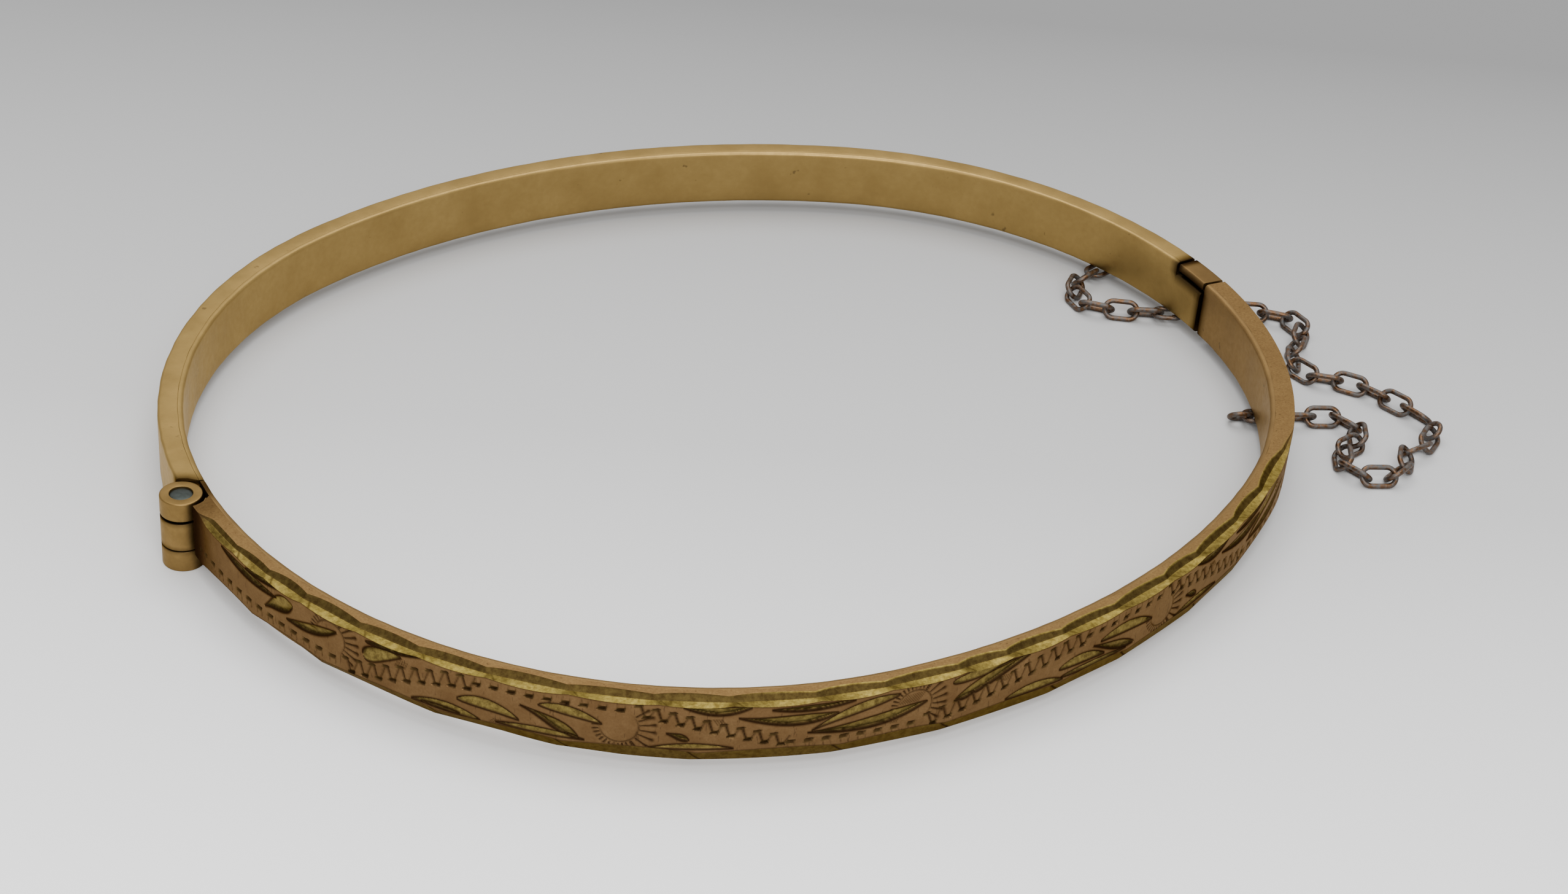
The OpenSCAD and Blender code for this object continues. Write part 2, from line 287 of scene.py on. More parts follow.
class Shader:
    """A small helper to write node materials in few lines."""

    def __init__(self, name):
        self.material = bpy.data.materials.new(name)
        self.material.use_nodes = True
        self.tree = self.material.node_tree
        self.bsdf = self.tree.nodes["Principled BSDF"]
        self.where = self.add("ShaderNodeTexCoord").outputs["Object"]

    def add(self, kind, settings=None, **inputs):
        """A node of this kind, with its settings and its input sockets by name."""
        node = self.tree.nodes.new(kind)
        for key, value in (settings or {}).items():
            setattr(node, key, value)
        for key, value in inputs.items():
            self.put(node.inputs[key.replace("_", " ")], value)
        return node

    def put(self, socket, value):
        if isinstance(value, bpy.types.NodeSocket):
            self.tree.links.new(value, socket)
        else:
            socket.default_value = value

    def noise(self, size, detail=4.0, roughness=0.55, stretch=None):
        """Noise whose features are about size millimetres."""
        where = self.where
        if stretch:
            where = self.add("ShaderNodeMapping", Vector=where, Scale=stretch).outputs[0]
        node = self.add("ShaderNodeTexNoise", Vector=where, Scale=1 / (size * MM), Detail=detail,
                        Roughness=roughness)
        return node.outputs["Fac"]

    def ramp(self, value, *stops):
        """stops are (position, grey or colour)."""
        node = self.add("ShaderNodeValToRGB", Fac=value)
        ramp = node.color_ramp
        while len(ramp.elements) < len(stops):
            ramp.elements.new(0.5)
        for element, (position, colour) in zip(ramp.elements, stops):
            element.position = position
            element.color = (colour,) * 3 + (1,) if isinstance(colour, float) else (*colour, 1)
        return node.outputs["Color"]

    def mix(self, fac, a, b):
        """Colour a where fac is 0 and b where it is 1."""
        node = self.add("ShaderNodeMix", {"data_type": "RGBA"})
        self.put(node.inputs["Factor"], fac)
        self.put(node.inputs[6], a if isinstance(a, bpy.types.NodeSocket) else (*a, 1))
        self.put(node.inputs[7], b if isinstance(b, bpy.types.NodeSocket) else (*b, 1))
        return node.outputs[2]

    def maths(self, operation, a, b=0.0, clamp=False):
        node = self.add("ShaderNodeMath", {"operation": operation, "use_clamp": clamp})
        self.put(node.inputs[0], a)
        self.put(node.inputs[1], b)
        return node.outputs[0]

    def attribute(self, name):
        return self.add("ShaderNodeAttribute", {"attribute_name": name}).outputs["Fac"]

    def bump(self, *layers):
        """layers are (height, strength, millimetres)."""
        normal = None
        for height, strength, distance in layers:
            node = self.add("ShaderNodeBump", Height=height, Strength=strength, Distance=distance * MM)
            if normal:
                self.put(node.inputs["Normal"], normal)
            normal = node.outputs[0]
        self.put(self.bsdf.inputs["Normal"], normal)

    def finish(self, colour, metallic, roughness):
        self.put(self.bsdf.inputs["Base Color"], colour)
        self.put(self.bsdf.inputs["Metallic"], metallic)
        self.put(self.bsdf.inputs["Roughness"], roughness)
        return self.material


# Colour of the reflections on clean gold, on the engraved gold, and on dirt and painted shade, which are dull
GOLD_TINT = (0.93, 0.84, 0.7)
ENGRAVED_TINT = (0.9, 0.76, 0.6)
DIRT_AND_SHADE_TINT = (0.12, 0.07, 0.04)


def plain_gold(name, light, dark, tarnish):
    """Satin gold, softly mottled, with tarnish, fine rubbed lines and a few dark specks, and painted shade with
    some dirt by the gaps and the barrel.
    """
    s = Shader(name)
    cloud = s.ramp(s.noise(2.6, 5.0, 0.6), (0.32, 0.0), (0.68, 1.0))
    fine = s.ramp(s.noise(0.35, 3.0), (0.3, 0.0), (0.7, 1.0))
    colour = s.mix(cloud, dark, light)
    colour = s.mix(s.maths("MULTIPLY", fine, 0.22), colour, tarnish)
    specks = s.ramp(s.noise(0.8, 2.0, 0.7), (0.24, 1.0), (0.29, 0.0))
    colour = s.mix(s.maths("MULTIPLY", specks, 0.6), colour, (0.1, 0.065, 0.03))
    # Painted shade with some dirt: near black, with dull reflections, where the layer is high
    shade_and_grime = s.attribute("shade_and_grime")
    colour = s.mix(shade_and_grime, colour, (0.028, 0.016, 0.008))
    s.put(s.bsdf.inputs["Specular Tint"], s.mix(shade_and_grime, GOLD_TINT, DIRT_AND_SHADE_TINT))
    lines = s.noise(0.5, 3.0, 0.6, (1.0, 1.0, 9.0))
    s.bump((s.noise(1.6, 3.0), 0.35, 0.03), (s.noise(0.12, 3.0), 0.25, 0.01), (lines, 0.2, 0.01))
    rough = s.ramp(s.mix(0.5, cloud, fine), (0.0, 0.36), (1.0, 0.52))
    return s.finish(colour, 1.0, rough)


def engraved_gold():
    """Matt rose gold ground with fine scratches, rims polished by wear, olive cuts with
    painted highlights on their facets, and dark dirt and painted shade in the grooves and cuts."""
    s = Shader("engraved_gold")
    cut = s.attribute("cut")
    dirt_and_shade = s.attribute("dirt_and_shade")
    painted_highlight = s.attribute("painted_highlight")
    worn = s.attribute("worn")
    cloud = s.ramp(s.noise(1.4, 5.0, 0.65), (0.3, 0.0), (0.7, 1.0))
    fine = s.ramp(s.noise(0.12, 3.0), (0.3, 0.0), (0.7, 1.0))
    grain = s.ramp(s.noise(0.3, 4.0, 0.7), (0.35, 0.0), (0.65, 1.0))
    ground = s.mix(cloud, (0.115, 0.064, 0.026), (0.175, 0.106, 0.046))
    ground = s.mix(worn, ground, s.mix(cloud, (0.215, 0.13, 0.05), (0.27, 0.168, 0.064)))
    ground = s.mix(s.maths("MULTIPLY", fine, 0.45), ground, (0.1, 0.052, 0.021))
    scratch = s.ramp(s.noise(0.5, 2.0, 0.6, (3.0, 3.0, 0.6)), (0.64, 0.0), (0.68, 0.5))
    ground = s.mix(scratch, ground, (0.05, 0.026, 0.012))
    olive = s.mix(grain, (0.078, 0.053, 0.015), (0.19, 0.14, 0.04))
    # Painted highlight colour, for cut facets that face up and for the rim's edge
    highlight_colour = s.mix(grain, (0.17, 0.12, 0.024), (0.36, 0.272, 0.064))
    colour = s.mix(cut, ground, olive)
    colour = s.mix(painted_highlight, colour, highlight_colour)
    # Dirt in the grooves, and painted shade on steep walls, on the lower cuts and beside the hinge: near black
    colour = s.mix(dirt_and_shade, colour, (0.026, 0.012, 0.005))
    s.bump((s.noise(0.09, 3.0), 0.35, 0.012), (s.noise(0.9, 3.0), 0.3, 0.03),
           (s.noise(0.25, 3.0), 0.3, 0.015))
    rough = s.mix(cut, (0.5,) * 3, (0.38,) * 3)
    rough = s.mix(dirt_and_shade, rough, (0.75,) * 3)
    # Reflections are dull where dirt and painted shade are
    s.put(s.bsdf.inputs["Specular Tint"], s.mix(dirt_and_shade, ENGRAVED_TINT, DIRT_AND_SHADE_TINT))
    return s.finish(colour, 1.0, rough)


def chain_metal():
    """Oxidised wire, grey in places and rust brown in others, with warm rubbed spots."""
    s = Shader("chain_metal")
    patch = s.ramp(s.noise(0.32, 3.0, 0.6), (0.4, 0.0), (0.6, 1.0))
    fine = s.ramp(s.noise(0.1, 3.0), (0.35, 0.0), (0.65, 1.0))
    colour = s.mix(patch, (0.085, 0.092, 0.095), (0.1, 0.052, 0.026))
    colour = s.mix(s.maths("MULTIPLY", fine, 0.35), colour, (0.2, 0.115, 0.06))
    s.bump((s.noise(0.12, 3.0), 0.5, 0.02), (s.noise(0.5, 2.0), 0.4, 0.03))
    rough = s.ramp(patch, (0.0, 0.55), (1.0, 0.36))
    return s.finish(colour, s.ramp(patch, (0.0, 0.75), (1.0, 1.0)), rough)


def pin_steel():
    """Grey, dull pin, cloudy and finely pitted."""
    s = Shader("pin_steel")
    cloud = s.ramp(s.noise(0.5, 4.0), (0.3, 0.0), (0.7, 1.0))
    colour = s.mix(cloud, (0.032, 0.037, 0.032), (0.064, 0.074, 0.068))
    s.bump((s.noise(0.15, 3.0), 0.4, 0.02))
    return s.finish(colour, 1.0, s.ramp(cloud, (0.0, 0.55), (1.0, 0.42)))


# The plain half is yellower and lighter, the engraved half pinker, and the barrel dirtier
back_gold = plain_gold(
    "back_gold", light=(0.39, 0.262, 0.088), dark=(0.315, 0.206, 0.066), tarnish=(0.26, 0.167, 0.058))
rose_gold = plain_gold(
    "rose_gold", light=(0.27, 0.168, 0.064), dark=(0.215, 0.13, 0.05), tarnish=(0.17, 0.098, 0.038))
barrel_gold = plain_gold(
    "barrel_gold", light=(0.28, 0.178, 0.062), dark=(0.19, 0.118, 0.038), tarnish=(0.11, 0.066, 0.024))
cut_gold = engraved_gold()
dark_metal = chain_metal()
steel = pin_steel()


def mount(piece, body, nodes, material):
    """Puts a piece on its body in place of CAD nodes, with its material."""
    piece.data.materials.append(material)
    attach(piece, body)
    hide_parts(*nodes)


# ---- Plain parts of the band ------------------------------------------------


def shell_profile():
    """C section of the back half's outer shell. Its edges are rounded by wear."""
    corners = [
        (SHELL_T, LOW, CUT_EDGE_R), (0, LOW, EDGE_R), (0, TOP, EDGE_R), (SHELL_T, TOP, CUT_EDGE_R),
        (SHELL_T, TOP - SHEET_T, 0), (SHEET_T, TOP - SHEET_T, 0),
        (SHEET_T, LOW + SHEET_T, 0), (SHELL_T, LOW + SHEET_T, 0)]
    return densified(rounded(corners), LONGEST_SIDE)


def step_profile():
    """L section of the same shell under the thumb piece."""
    return rounded([
        (SHELL_T, LOW, CUT_EDGE_R), (0, LOW, EDGE_R), (0, NOTCH_LOW, 0.03),
        (SHEET_T, NOTCH_LOW, 0.03), (SHEET_T, LOW + SHEET_T, 0), (SHELL_T, LOW + SHEET_T, 0)])


def lining_profile(top):
    """Strip of lining up to this height. It is worn round inside, and its outer edges
    close against the shell's rims."""
    worn = 0.24
    seam = SHELL_T + 0.002
    corners = [(BAND_T, LOW, worn), (seam, LOW, 0.004), (seam, top, 0.004), (BAND_T, top, worn)]
    return densified(rounded(corners), LONGEST_SIDE)


def barrel_start(depth, side, limit, clear):
    """Length along the outline, for each depth, where a half begins beside the barrel."""
    reach = depth - HINGE_FROM_CENTRE[0] - HALF_LENGTH
    beside = np.sqrt(np.maximum((BARREL_R + clear) ** 2 - reach ** 2, 0))
    y = HINGE_FROM_CENTRE[1] + side * beside
    return np.maximum(y, limit) if side > 0 else np.maximum(-y, -limit)


def build_back_half():
    """Shell and lining, each in two pieces: to the notch at full height, and under it."""
    notch = back.length - NOTCH_LENGTH
    under_start = notch - 0.01
    clasp_end = back.length - JOINT_GAP / 2
    profile = shell_profile()
    start = barrel_start(profile[:, 0], 1, BACK_END_Y, BARREL_CLEAR)
    shell = sweep("back_shell", back, profile, start, notch, wave=0.03)
    step = sweep("back_shell_under_thumb", back, step_profile(), under_start, clasp_end)
    for piece in (shell, step):
        sharpen(piece)
        mount(piece, "back_half", ["back_outer_shell"], back_gold)
    lining = sweep("back_lining", back, lining_profile(TOP), BACK_END_Y, notch, wave=0.02,
                   barrel=True)
    under = sweep("back_lining_under_thumb", back, lining_profile(NOTCH_LOW), under_start,
                  clasp_end)
    for piece in (lining, under):
        sharpen(piece)
        mount(piece, "back_half", ["back_inner_lining"], back_gold)


def build_front_lining():
    """Lining of the engraved half. Its end reaches further round the barrel than the shell."""
    end = front.length - JOINT_GAP / 2
    lining = sweep("front_lining", front, lining_profile(TOP), -FRONT_LIP_END_Y, end,
                   wave=0.02, barrel=True)
    sharpen(lining)
    mount(lining, "front_half", ["front_inner_lining"], rose_gold)


def build_thumb_piece():
    """Plate that fills the notch and presses the tongue."""
    corners = [(BAND_T, THUMB_LOW, 0.03), (0, THUMB_LOW, 0.03), (0, TOP, 0.13), (BAND_T, TOP, 0.13)]
    profile = densified(rounded(corners), 0.3)
    piece = sweep("thumb_plate", back, profile, back.length - THUMB_LENGTH, back.length - 0.02,
                  step=0.15)
    sharpen(piece)
    mount(piece, "tongue", ["thumb_piece"], rose_gold)


# ---- Hinge -------------------------------------------------------------------


def heights(node):
    """Lowest and highest point of a CAD node, in millimetres."""
    return [corner[2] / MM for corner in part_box(node)]


def knuckle_shade_and_grime(ring, turns):
    """Dirt between the knuckles, and painted shade up the side that faces the band."""
    low, high = heights("hinge_knuckle_middle")
    by_gap = sum(np.exp(-((ring[:, 1] - gap) / 0.09) ** 2) for gap in (low - 0.03, high + 0.03))
    turn = np.linspace(0, 2 * math.pi, turns, endpoint=False)
    # Painted shade on the side of the barrel that faces the band
    by_band = 0.8 * smooth((np.cos(turn + 0.5) - 0.5) / 0.4)
    outside = ring[:, 0] > BARREL_R - 0.03
    return np.maximum(by_gap, by_band[:, None] * outside)


def build_knuckle(node, body, bore, edge):
    """Turned ring in place of a CAD knuckle, with its outer edges rounded."""
    turns = 96
    low, high = heights(node)
    ring = rounded([(bore, low, 0.02), (BARREL_R, low, edge), (BARREL_R, high, edge),
                    (bore, high, 0.03)])
    ring = densified(ring, 0.25)
    knuckle = lathe(node.replace("hinge_", "") + "_turned", HINGE, ring, turns)
    # Dirt in the knuckle gaps and painted shade on the band side
    write_layer(knuckle, "shade_and_grime", knuckle_shade_and_grime(ring, turns))
    sharpen(knuckle, 40)
    mount(knuckle, body, [node], barrel_gold)


def build_pin():
    """Pin with a slightly domed end."""
    low, high = heights("hinge_pin")
    dome = [(PIN_R * math.sin(a), high - 0.09 * (1 - math.cos(a))) for a in np.linspace(0.02, 1.5, 9)]
    pin = lathe("pin_turned", HINGE, dome + [(PIN_R, low), (0.01, low)], turns=64)
    sharpen(pin, 50)
    mount(pin, "back_half", ["hinge_pin"], steel)


def build_hinge():
    fixed_bore = PIN_R + 0.001
    turning_bore = PIN_R + 0.05
    build_knuckle("hinge_knuckle_bottom", "back_half", fixed_bore, 0.07)
    build_knuckle("hinge_knuckle_middle", "front_half", turning_bore, 0.05)
    build_knuckle("hinge_knuckle_top", "back_half", fixed_bore, 0.1)
    build_pin()


# ---- Engraving ---------------------------------------------------------------

# Suns: radius of the plain disc, where the rays begin, and where they end
SUN_R = 0.92
RAY_START = 1.0
SHORT_RAY = 1.24
LONG_RAY = 1.66


class Plate:
    """The engraved face laid out flat: x along the band from the hinge end, z up from
    its lower edge. depth, cut and the dirt layer are how deep, how bright-cut, and how dark it is from dirt and
    painted shade."""

    def __init__(self, x, z):
        self.x = x
        self.z = z
        self.depth = np.zeros(z.shape)
        self.cut = np.zeros(z.shape)
        self.dirt_and_shade = np.zeros(z.shape)

    def near(self, x0, x1):
        """Rows of the plate between two lengths."""
        i, j = np.searchsorted(self.x, (x0, x1))
        return slice(i, j)

    def add(self, rows, depth, cut, dirt_and_shade):
        """Where cuts cross, the deeper, brighter and darker one counts."""
        self.depth[rows] = np.maximum(self.depth[rows], depth)
        self.cut[rows] = np.maximum(self.cut[rows], cut)
        self.dirt_and_shade[rows] = np.maximum(self.dirt_and_shade[rows], dirt_and_shade)

    def leaf(self, start, end, width, bow, belly, deep):
        """Lens cut by a tilted graver. bow bends its spine to the left of its course,
        belly is where it is widest, and deep is the side with the steep wall, which gets painted shade."""
        (x0, z0), (x1, z1) = start, end
        length = math.hypot(x1 - x0, z1 - z0)
        ex, ez = (x1 - x0) / length, (z1 - z0) / length
        rows = self.near(min(x0, x1) - width, max(x0, x1) + width)
        px = self.x[rows, None] - x0
        pz = self.z[rows] - z0
        u = (px * ex + pz * ez) / length
        off = pz * ex - px * ez - 4 * bow * u * (1 - u)
        skew = math.log(0.5) / math.log(belly)
        half = 0.5 * width * np.sin(math.pi * np.clip(u, 0.001, 0.999) ** skew) ** 0.8
        inside = half - np.abs(off)
        inside[(u < 0) | (u > 1)] = -1
        tilt = 0.5 + 0.5 * deep * off / np.maximum(half, 0.03)
        tilt = np.clip(tilt, 0, 1)
        body = smooth(inside / 0.06)
        edge = np.exp(-((inside + 0.01) / (0.055 + 0.025 * tilt)) ** 2)
        # Painted shade on the steep wall's side, and at the cut's deep end
        shade = 0.75 * smooth((tilt - 0.62) / 0.38) * body
        shade = np.maximum(shade, 0.6 * body * smooth((u - 0.8) / 0.2))
        self.add(rows, body * (0.03 + 0.11 * tilt), body, np.maximum(edge, shade))

    def stroke(self, start, end, width, depth, dirt_and_shade):
        """Straight cut, widest at its start."""
        (x0, z0), (x1, z1) = start, end
        rows = self.near(min(x0, x1) - 3 * width, max(x0, x1) + 3 * width)
        px = self.x[rows, None] - x0
        pz = self.z[rows] - z0
        dx, dz = x1 - x0, z1 - z0
        t = np.clip((px * dx + pz * dz) / (dx * dx + dz * dz), 0, 1)
        away = np.hypot(px - t * dx, pz - t * dz)
        groove = np.exp(-(away / (width * (1.15 - 0.5 * t))) ** 2)
        self.add(rows, depth * groove, 0, dirt_and_shade * groove)

    def punch(self, x, z, width, height, lean):
        """Small slanted nick with dirt in it, deeper on the side that lean points to and darkest there from
        painted shade.
        """
        rows = self.near(x - width, x + width)
        pz = (self.z[rows] - z) / height
        px = (self.x[rows, None] - x) / width - 0.25 * pz
        inside = 0.5 - np.maximum(np.abs(px), np.abs(pz))
        body = smooth(inside / 0.14)
        # Painted shade darkens the nick towards the side that lean points to, over the nick's own dirt
        slope = np.clip(0.55 + 0.7 * lean * pz + 0.4 * px, 0, 1)
        self.add(rows, 0.14 * body * slope, 0.5 * body, body * (0.5 + 0.5 * slope))

    def rays(self, x, z, inner, outer, spread, count, width):
        """Strokes round a centre, spread between two angles in degrees."""
        centre = np.array([x, z])
        for a in np.radians(np.linspace(*spread, count)):
            ray = np.array([math.cos(a), math.sin(a)])
            self.stroke(centre + outer * ray, centre + inner * ray, width, 0.06, 0.9)

    def sun(self, x, z, up):
        """Plain half disc with short rays round it and longer ones towards the clasp. up is
        1 where the rays are above it and -1 where they are below."""
        rows = self.near(x - 1.2, x + 1.2)
        px = self.x[rows, None] - x
        pz = self.z[rows] - z
        away = np.hypot(px, pz)
        rim = np.exp(-((away - SUN_R) / 0.04) ** 2)
        facing = smooth(0.6 + 0.9 * (px * 0.45 + up * pz) / SUN_R)
        self.add(rows, 0.05 * rim * facing, 0, 0.6 * rim * facing)
        over = (58, 178) if up > 0 else (-178, -58)
        ahead = (-38, 54) if up > 0 else (-54, 38)
        self.rays(x, z, RAY_START, SHORT_RAY, over, 12, 0.045)
        self.rays(x, z, RAY_START, LONG_RAY, ahead, 7, 0.05)
        self.rays(x, z, LONG_RAY - 0.14, LONG_RAY + 0.04, ahead, 7, 0.085)

    def hatch(self, x, z, count, dx, dz):
        """Row of fine parallel scratches."""
        spacing = 0.13
        for start in x + spacing * np.arange(count):
            self.stroke((start, z), (start + dx, z + dz), 0.03, 0.025, 0.6)


# Layout of the engraving, in millimetres along the band from the hinge end and up from
# the face's lower edge. What lies past REPEAT_FROM comes again, DESIGN_STEP further on.
DESIGN_STEP = 30.2
REPEAT_FROM = 30.9
# Suns: length, height, and which way they face
SUNS = [(14.7, 2.2, 1), (29.8, 1.82, -1), (44.1, 2.05, 1), (60.1, 1.82, -1)]
# Scratches: length, height, how many, and the run of each
HATCHES = [(12.0, 1.75, 4, 0.3, 0.3), (18.6, 2.3, 5, 0.16, 0.4), (23.5, 0.6, 6, 0.3, 0.4),
           (34.2, 2.5, 4, 0.22, -0.34), (43.3, 2.3, 8, 0.42, 0.5), (42.9, 1.3, 3, 0.2, 0.3),
           (48.9, 2.05, 4, 0.2, 0.35)]
# The wriggle line: length and height of its turning points
WAVE = [(3.5, 1.35), (13.4, 1.2), (15.8, 1.1), (17.4, 1.45), (19.4, 2.1), (21.4, 2.6), (23.4, 2.8),
        (30.6, 2.8), (32.6, 2.4), (35.2, 1.7), (37.9, 1.02), (45.0, 1.02), (48.5, 1.85),
        (52.4, 2.6), (54.4, 2.78), (60.8, 2.78)]
# Leaves: start, end, width, bow, where it is widest, side with the steep wall that gets painted shade
LEAVES = [
    ((6.3, 3.05), (11.0, 2.62), 0.42, -0.12, 0.5, -1),
    ((8.5, 3.0), (11.3, 3.28), 0.34, 0.03, 0.5, -1),
    ((10.1, 1.68), (12.2, 2.8), 0.9, 0.1, 0.66, -1),
    ((11.75, 1.8), (15.15, 2.7), 0.52, -0.16, 0.55, -1),
    ((16.75, 2.15), (18.95, 2.88), 0.82, 0.08, 0.24, 1),
    ((16.9, 3.02), (20.1, 3.36), 0.3, -0.06, 0.4, -1),
    ((21.9, 1.62), (25.05, 1.25), 0.6, 0.28, 0.42, 1),
    ((19.5, 0.76), (23.15, 0.68), 0.46, 0.22, 0.5, 1),
    ((20.0, 0.76), (22.1, 0.72), 0.14, 0.02, 0.5, 1),
    ((23.9, 0.84), (28.2, 0.78), 0.3, 0.1, 0.5, 1),
    ((25.05, 2.2), (27.95, 0.8), 0.56, 0.12, 0.68, -1),
    ((25.95, 2.42), (29.0, 1.84), 0.5, 0.2, 0.45, 1),
    ((32.0, 1.64), (33.1, 1.25), 0.32, 0.04, 0.65, -1),
    ((31.2, 0.72), (35.2, 0.8), 0.3, 0.13, 0.5, 1),
    ((32.75, 3.2), (36.0, 3.24), 0.46, -0.22, 0.55, -1),
    ((35.35, 2.6), (40.2, 2.5), 0.56, -0.24, 0.6, -1),
    ((36.9, 3.0), (41.0, 3.12), 0.3, -0.1, 0.5, -1),
    ((38.7, 1.5), (44.75, 2.2), 0.62, -0.24, 0.6, -1),
    ((38.9, 1.58), (43.3, 2.95), 0.5, 0.26, 0.6, 1),
    ((46.3, 1.7), (50.5, 3.2), 0.66, 0.14, 0.4, -1),
    ((46.1, 2.85), (49.8, 3.16), 0.48, 0.05, 0.35, 1),
    ((49.3, 0.8), (52.95, 0.72), 0.46, 0.22, 0.5, 1),
    ((52.6, 1.4), (55.75, 1.15), 0.55, 0.24, 0.45, 1),
    ((52.8, 0.86), (57.4, 0.76), 0.26, 0.06, 0.4, 1),
    ((54.8, 1.97), (57.95, 0.88), 0.5, -0.05, 0.65, -1),
    ((55.3, 2.02), (59.3, 1.66), 0.58, 0.28, 0.5, 1)]


def nick(plate, x, level, high):
    """One nick of a level stretch, with two faint strokes that hang from it or stand on it."""
    plate.punch(x, level, 0.46, 0.27, -1 if high else 1)
    tip = level - 0.36 + 0.7 * high
    for side in (-0.16, 0.2):
        plate.stroke((x + side, level), (x + side + 0.05, tip), 0.035, 0.03, 0.4)


def tooth(plate, x, level, ahead):
    """One tooth of the zigzag: down, up to the next tooth, and a nick at both turns."""
    top = level + 0.36
    bottom = level - 0.34
    plate.stroke((x + 0.06, top), (x + 0.28, bottom), 0.07, 0.08, 0.75)
    plate.stroke((x + 0.74, ahead + 0.34), (x + 0.44, bottom), 0.055, 0.05, 0.5)
    plate.punch(x - 0.04, top - 0.03, 0.42, 0.2, 1)
    plate.punch(x + 0.36, bottom + 0.04, 0.44, 0.26, -1)


def wriggle_line(plate, end):
    """Steep zigzag along WAVE. On level stretches only a row of nicks is left."""
    tooth_step = 0.8
    nick_step = 0.87
    knots = np.array(WAVE + [(x + DESIGN_STEP, z) for x, z in WAVE if x > REPEAT_FROM])
    middle = knots[:, 1].mean()
    x = knots[0, 0]
    while x < end - 0.5:
        level, ahead = np.interp((x, x + tooth_step), knots[:, 0], knots[:, 1])
        if abs(ahead - level) < 0.06:
            nick(plate, x, level, level > middle)
            x += nick_step
        else:
            tooth(plate, x, level, ahead)
            x += tooth_step


def engrave(plate, end):
    """The whole design, as far as whole motifs fit before the clasp end."""
    wriggle_line(plate, end)
    for shift in (0, DESIGN_STEP):
        for x, z, up in SUNS:
            if shift == 0 or x > REPEAT_FROM and x + shift < end - 3:
                plate.sun(x + shift, z, up)
        for x, z, count, dx, dz in HATCHES:
            if shift == 0 or x > REPEAT_FROM:
                plate.hatch(x + shift, z, count, dx, dz)
        for (x0, z0), (x1, z1), width, bow, belly, deep in LEAVES:
            if shift == 0 or x0 > REPEAT_FROM and x1 + shift < end - 0.3:
                plate.leaf((x0 + shift, z0), (x1 + shift, z1), width, bow, belly, deep)


# ---- Engraved shell ----------------------------------------------------------

# Edge cuts: where the first one starts, and the shortest and longest of them
TOP_CUTS_START = 2.9
TOP_CUT_LENGTHS = (3.1, 5.2)
TOP_CUTS_END = 78.5
LOW_CUTS_START = 3.5
LOW_CUT_LENGTHS = (5.5, 8.0)
# How far the cuts reach over the face and over the rim. On the lower edge the reach over
# the rim changes along the band: (lengths, reaches).
TOP_FACE_REACH = 0.3
TOP_RIM_REACH = 0.82
LOW_FACE_REACH = 0.76
LOW_RIM_REACH = ((10, 24, 30, 90), (0.62, 0.52, 0.24, 0.3))
# From here to 6 mm further on, the upper cuts' outer line turns from a dirty line to a painted highlight
EDGE_HIGHLIGHT_FROM = 34.0

# Runs of the shell's outer section: the corners that each lies between, and its points.
# On both edges the face ends at a, the cut's bottom is at b, and it leaves the rim at c.
FACE_POINTS = 56
RUNS = {
    "low_rim": ("inner_low", "low_c", 6),
    "low_outer": ("low_c", "low_b", 4),
    "low_cut": ("low_b", "low_a", 5),
    "face": ("low_a", "top_a", FACE_POINTS),
    "top_cut": ("top_a", "top_b", 7),
    "top_outer": ("top_b", "top_c", 5),
    "top_rim": ("top_c", "inner_top", 6)}

# What is written on the shell's points for engraved_gold
LAYERS = ("cut", "dirt_and_shade", "painted_highlight", "worn")
CUT, DIRT_AND_SHADE, PAINTED_HIGHLIGHT, WORN = range(len(LAYERS))


class EdgeCuts:
    """Row of overlapping lens cuts along an edge. rim and face are how far they reach over
    the rim and over the face, from 0 to 1, kind is a random number for each cut, and
    starts are the lengths where the cuts start."""

    def __init__(self, x, first, lengths, seed):
        rng = np.random.default_rng(seed)
        self.rim, self.face, self.kind = np.zeros((3, len(x)))
        self.starts = []
        start = first
        while start < x[-1] + 1:
            length = rng.uniform(*lengths)
            size = rng.uniform(0.82, 1.0)
            t = np.clip((x - start) / length, 0, 1)
            early = size * np.sin(math.pi * t ** 0.85) ** 0.85
            late = size * np.sin(math.pi * t ** 1.2) ** 0.8
            outermost = early + late > self.rim + self.face
            self.kind = np.where(outermost, rng.uniform(0, 1), self.kind)
            self.rim = np.maximum(self.rim, early)
            self.face = np.maximum(self.face, late)
            self.starts.append(start)
            start += length * rng.uniform(0.84, 0.9)


def section_corners(x, end, top, low, top_fade):
    """Depth and height of the section's corners at each length."""
    low_fade = smooth((end - 0.5 - x) / 2.5)
    by_hinge = 0.55 + 0.45 * smooth((x - 4.0) / 9.0)
    top_rim = (0.58 + 0.42 * top.rim) * top_fade * by_hinge
    top_face = (0.35 + 0.65 * top.face) * top_fade
    low_rim = (0.75 + 0.25 * low.rim) * low_fade
    low_face = (0.6 + 0.4 * low.face) * low_fade
    low_reach = np.interp(x, *LOW_RIM_REACH) * low_rim ** 2
    nothing = np.zeros(len(x))
    return {
        "inner_low": (nothing + SHELL_T, nothing),
        "low_c": (low_reach, nothing),
        "low_b": (0.52 * low_reach, 0.37 * low_face),
        "low_a": (nothing, LOW_FACE_REACH * low_face),
        "top_a": (nothing, BAND_H - TOP_FACE_REACH * top_face),
        "top_b": (0.48 * top_rim, BAND_H - 0.26 * top_rim),
        "top_c": (TOP_RIM_REACH * top_rim, nothing + BAND_H),
        "inner_top": (nothing + SHELL_T, nothing + BAND_H)}


